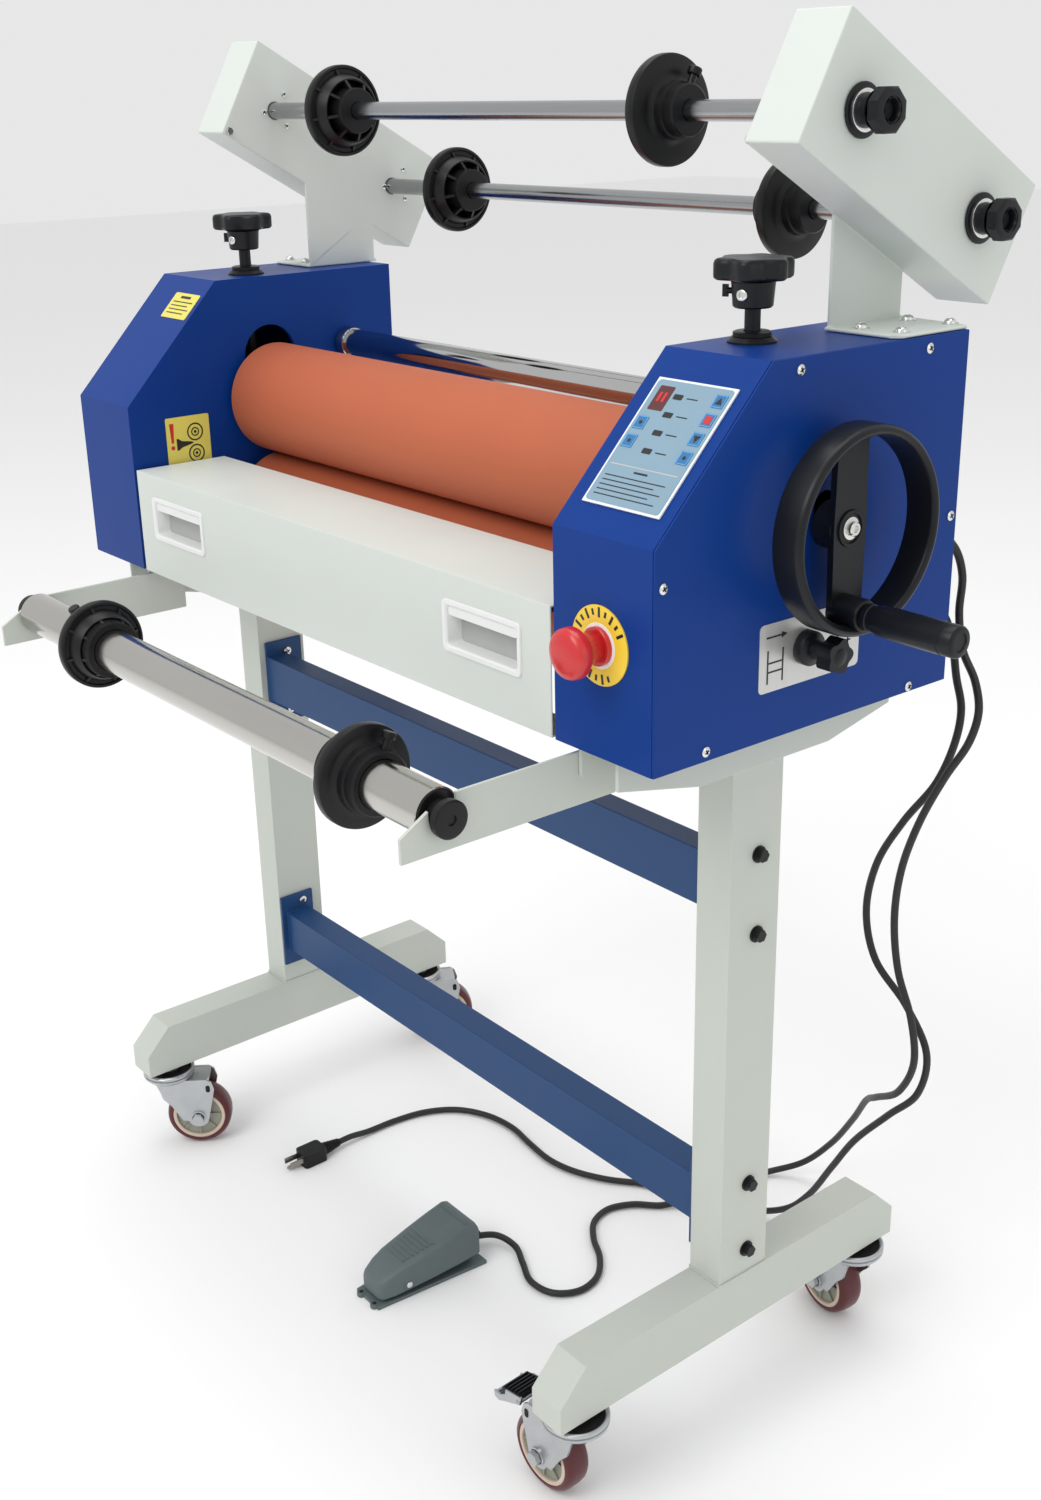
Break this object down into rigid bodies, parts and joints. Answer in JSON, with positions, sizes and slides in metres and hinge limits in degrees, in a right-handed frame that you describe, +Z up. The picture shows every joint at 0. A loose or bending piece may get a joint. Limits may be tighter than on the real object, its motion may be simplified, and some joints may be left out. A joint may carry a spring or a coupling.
{
  "type": "cold roll laminator",
  "caption": "Wide format cold roll laminator on a castered stand, with a pair of rubber rollers, unwind shafts, handwheel, control panel, foot switch and mains lead.",
  "frame": {"origin": "middle of the machine's outline, on the floor", "axes": "+Z up, +X along the rollers towards the handwheel, +Y from the feed side to the back"},
  "size_m": [1.011, 0.6518, 1.2137],
  "materials": {
    "blue_paint": "semi-gloss powder coat",
    "beam_paint": "satin powder coat",
    "stand_paint": "satin powder coat",
    "white_paint": "satin powder coat",
    "salmon_rubber": "matte silicone rubber",
    "steel": "turned",
    "chrome": "polished",
    "zinc": "zinc plated",
    "red_tyre": "satin polyurethane",
    "black_plastic": "moulded",
    "red_plastic": "gloss",
    "panel_foil": "printed membrane foil",
    "pedal_paint": "textured enamel",
    "cord_rubber": "matte"
  },
  "bodies": {
    "machine": {"foot_right": "stand_paint", "foot_left": "stand_paint", "upright_right": "stand_paint", "upright_left": "stand_paint", "crossbeam_upper": "beam_paint", "crossbeam_lower": "beam_paint", "saddle_right": "stand_paint", "saddle_left": "stand_paint", "front_arm_right": "stand_paint", "front_arm_left": "stand_paint", "housing_right": "blue_paint", "housing_left": "blue_paint", "side_cover_right": "blue_paint", "side_cover_left": "blue_paint", "control_panel": "panel_foil", "drive_motor": "steel", "unwind_bracket_right": "white_paint", "unwind_bracket_left": "white_paint", "gland_mains": "black_plastic", "gland_pedal": "black_plastic", "cord_mains": "cord_rubber", "cord_pedal": "cord_rubber", "plug": "black_plastic", "pedal_base": "pedal_paint"},
    "bearing_carriage": {"bearing_block_right": "steel", "bearing_block_left": "steel"},
    "upper_roller": {"upper_roller_rubber": "salmon_rubber", "upper_roller_shaft": "steel", "handwheel": "black_plastic"},
    "crank_grip": {"crank_handle": "black_plastic"},
    "lower_roller": {"lower_roller_rubber": "salmon_rubber", "lower_roller_shaft": "steel"},
    "guide_bar": {"guide_bar": "chrome"},
    "feed_table": {"feed_table": "white_paint"},
    "pressure_knob_right": {"pressure_knob_right": "black_plastic"},
    "pressure_knob_left": {"pressure_knob_left": "black_plastic"},
    "clutch_knob": {"clutch_knob": "black_plastic"},
    "stop_button": {"stop_button": "red_plastic"},
    "unwind_shaft_front": {"unwind_shaft_front": "steel"},
    "unwind_shaft_back": {"unwind_shaft_back": "steel"},
    "tension_knob_front": {"tension_knob_front": "black_plastic"},
    "tension_knob_back": {"tension_knob_back": "black_plastic"},
    "roll_tube": {"roll_tube": "chrome"},
    "pedal_treadle": {"pedal_treadle": "pedal_paint"},
    "chuck_front_left": {"chuck_front_left": "black_plastic"},
    "chuck_front_right": {"chuck_front_right": "black_plastic"},
    "chuck_back_left": {"chuck_back_left": "black_plastic"},
    "chuck_back_right": {"chuck_back_right": "black_plastic"},
    "roll_chuck_left": {"roll_chuck_left": "black_plastic"},
    "roll_chuck_right": {"roll_chuck_right": "black_plastic"},
    "caster_front_right": {"caster_fork_front_right": "zinc"},
    "wheel_front_right": {"caster_wheel_front_right": "red_tyre"},
    "brake_front_right": {"caster_brake_front_right": "black_plastic"},
    "caster_back_right": {"caster_fork_back_right": "zinc"},
    "wheel_back_right": {"caster_wheel_back_right": "red_tyre"},
    "caster_front_left": {"caster_fork_front_left": "zinc"},
    "wheel_front_left": {"caster_wheel_front_left": "red_tyre"},
    "caster_back_left": {"caster_fork_back_left": "zinc"},
    "wheel_back_left": {"caster_wheel_back_left": "red_tyre"}
  },
  "joints": [
    {"name": "swivel_front_right", "type": "hinge", "parent": "machine", "child": "caster_front_right", "pos_m": [0.302, -0.155, 0], "axis": [0, 0, 1], "continuous": true},
    {"name": "wheel_spin_front_right", "type": "hinge", "parent": "caster_front_right", "child": "wheel_front_right", "pos_m": [0.27001, -0.15596, 0.0375], "axis": [0.03, -0.9996, 0], "continuous": true},
    {"name": "brake_lever_front_right", "type": "hinge", "parent": "caster_front_right", "child": "brake_front_right", "pos_m": [0.24602, -0.15668, 0.082], "axis": [0.03, -0.9996, 0], "range_deg": [0, 12]},
    {"name": "swivel_back_right", "type": "hinge", "parent": "machine", "child": "caster_back_right", "pos_m": [0.302, 0.205, 0], "axis": [0, 0, 1], "continuous": true},
    {"name": "wheel_spin_back_right", "type": "hinge", "parent": "caster_back_right", "child": "wheel_back_right", "pos_m": [0.27042, 0.21016, 0.0375], "axis": [-0.1611, -0.9869, 0], "continuous": true},
    {"name": "swivel_front_left", "type": "hinge", "parent": "machine", "child": "caster_front_left", "pos_m": [-0.433, -0.155, 0], "axis": [0, 0, 1], "continuous": true},
    {"name": "wheel_spin_front_left", "type": "hinge", "parent": "caster_front_left", "child": "wheel_front_left", "pos_m": [-0.4138, -0.1294, 0.0375], "axis": [-0.8, 0.6, 0], "continuous": true},
    {"name": "swivel_back_left", "type": "hinge", "parent": "machine", "child": "caster_back_left", "pos_m": [-0.433, 0.205, 0], "axis": [0, 0, 1], "continuous": true},
    {"name": "wheel_spin_back_left", "type": "hinge", "parent": "caster_back_left", "child": "wheel_back_left", "pos_m": [-0.41706, 0.23274, 0.0375], "axis": [-0.867, 0.4983, 0], "continuous": true},
    {"name": "upper_roller_lift", "type": "slide", "parent": "machine", "child": "bearing_carriage", "axis": [0, 0, 1], "range_m": [0, 0.012]},
    {"name": "upper_roller_spin", "type": "hinge", "parent": "bearing_carriage", "child": "upper_roller", "pos_m": [-0.0655, 0.032, 0.864], "axis": [1, 0, 0], "continuous": true},
    {"name": "crank_grip_spin", "type": "hinge", "parent": "upper_roller", "child": "crank_grip", "pos_m": [0.4545, 0.028, 0.803], "axis": [1, 0, 0], "continuous": true},
    {"name": "lower_roller_spin", "type": "hinge", "parent": "machine", "child": "lower_roller", "pos_m": [-0.0655, 0.032, 0.751], "axis": [1, 0, 0], "continuous": true},
    {"name": "guide_bar_spin", "type": "hinge", "parent": "machine", "child": "guide_bar", "pos_m": [-0.0655, 0.128, 0.91], "axis": [1, 0, 0], "continuous": true},
    {"name": "feed_table_pull", "type": "slide", "parent": "machine", "child": "feed_table", "axis": [0, -1, 0], "range_m": [0, 0.06]},
    {"name": "pressure_screw_right", "type": "hinge", "parent": "machine", "child": "pressure_knob_right", "pos_m": [0.2995, 0.029, 1.04], "axis": [0, 0, 1], "range_deg": [0, 1080]},
    {"name": "pressure_screw_left", "type": "hinge", "parent": "machine", "child": "pressure_knob_left", "pos_m": [-0.4305, 0.029, 1.04], "axis": [0, 0, 1], "range_deg": [0, 1080]},
    {"name": "clutch_pull", "type": "slide", "parent": "machine", "child": "clutch_knob", "axis": [1, 0, 0], "range_m": [0, 0.008]},
    {"name": "stop_push", "type": "slide", "parent": "machine", "child": "stop_button", "axis": [0, 1, 0], "range_m": [0, 0.004]},
    {"name": "unwind_spin_front", "type": "hinge", "parent": "machine", "child": "unwind_shaft_front", "pos_m": [-0.0655, 0.078, 1.146], "axis": [1, 0, 0], "continuous": true},
    {"name": "unwind_spin_back", "type": "hinge", "parent": "machine", "child": "unwind_shaft_back", "pos_m": [-0.0655, 0.2205, 1.065], "axis": [1, 0, 0], "continuous": true},
    {"name": "tension_screw_front", "type": "hinge", "parent": "unwind_shaft_front", "child": "tension_knob_front", "pos_m": [0.3645, 0.078, 1.146], "axis": [1, 0, 0], "range_deg": [-180, 180]},
    {"name": "tension_screw_back", "type": "hinge", "parent": "unwind_shaft_back", "child": "tension_knob_back", "pos_m": [0.3645, 0.2205, 1.065], "axis": [1, 0, 0], "range_deg": [-180, 180]},
    {"name": "chuck_slide_front_left", "type": "slide", "parent": "unwind_shaft_front", "child": "chuck_front_left", "axis": [1, 0, 0], "range_m": [-0.09, 0.12]},
    {"name": "chuck_slide_front_right", "type": "slide", "parent": "unwind_shaft_front", "child": "chuck_front_right", "axis": [1, 0, 0], "range_m": [-0.12, 0.1]},
    {"name": "chuck_slide_back_left", "type": "slide", "parent": "unwind_shaft_back", "child": "chuck_back_left", "axis": [1, 0, 0], "range_m": [-0.08, 0.12]},
    {"name": "chuck_slide_back_right", "type": "slide", "parent": "unwind_shaft_back", "child": "chuck_back_right", "axis": [1, 0, 0], "range_m": [-0.12, 0.1]},
    {"name": "roll_tube_spin", "type": "hinge", "parent": "machine", "child": "roll_tube", "pos_m": [-0.0655, -0.254, 0.681], "axis": [1, 0, 0], "continuous": true},
    {"name": "roll_chuck_slide_left", "type": "slide", "parent": "roll_tube", "child": "roll_chuck_left", "axis": [1, 0, 0], "range_m": [-0.1, 0.12]},
    {"name": "roll_chuck_slide_right", "type": "slide", "parent": "roll_tube", "child": "roll_chuck_right", "axis": [1, 0, 0], "range_m": [-0.12, 0.06]},
    {"name": "pedal_press", "type": "hinge", "parent": "machine", "child": "pedal_treadle", "pos_m": [-0.0385, -0.11, 0.016], "axis": [-1, 0, 0], "range_deg": [0, 4], "stiffness_Nm_per_rad": 2, "springref_deg": -8.59}
  ],
  "couplings": [
    {"joint": "lower_roller_spin", "follows": "upper_roller_spin", "ratio": -1},
    {"joint": "pressure_screw_right", "follows": "upper_roller_lift", "rad_per_m": 1570.8},
    {"joint": "pressure_screw_left", "follows": "upper_roller_lift", "rad_per_m": 1570.8}
  ]
}
